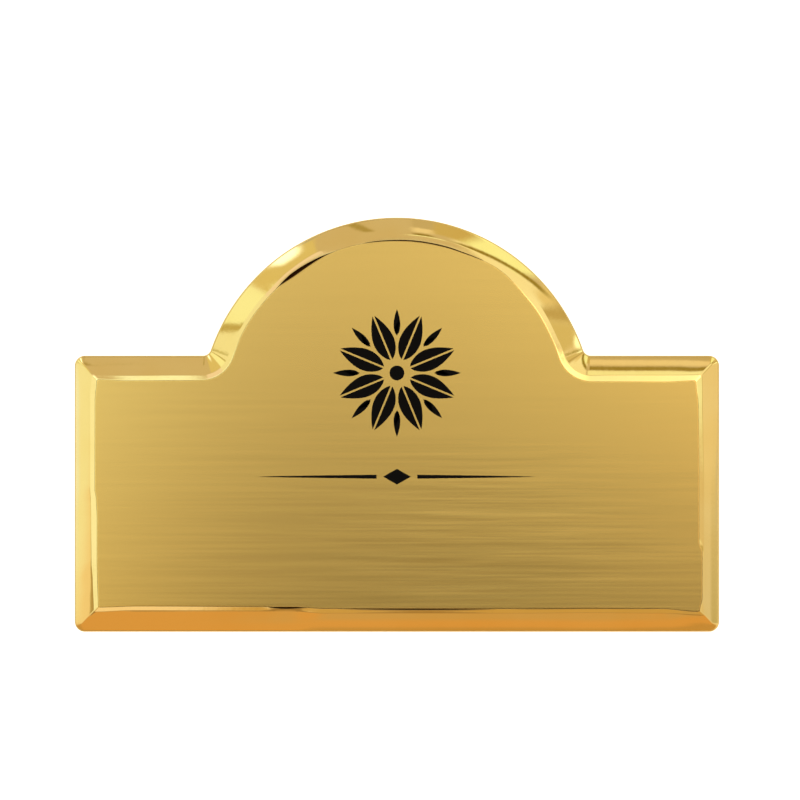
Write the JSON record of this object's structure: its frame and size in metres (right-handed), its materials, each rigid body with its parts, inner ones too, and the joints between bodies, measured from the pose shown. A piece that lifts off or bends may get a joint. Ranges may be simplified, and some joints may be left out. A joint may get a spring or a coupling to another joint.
{
  "type": "name badge",
  "caption": "Domed rectangular metal name badge: a polished bevelled frame round a flat brushed panel, with a magnetic bar across its flat back.",
  "frame": {"origin": "on the surface that the badge rests on, under the middle of the frame's outline", "axes": "+X to the right as seen from the front, +Y towards the top of the dome, +Z out of the face"},
  "size_m": [0.07, 0.045, 0.0068],
  "materials": {
    "polished_gold": "mirror-polished gold plating",
    "brushed_gold": "fine horizontal brushing, gold plating",
    "black_plastic": "satin moulded plastic",
    "black_ink": "screen-printed ink, for what is printed on the panel"
  },
  "bodies": {
    "root": {"badge_frame": "polished_gold", "face_panel": "brushed_gold", "magnet_bar": "black_plastic"}
  },
  "joints": []
}
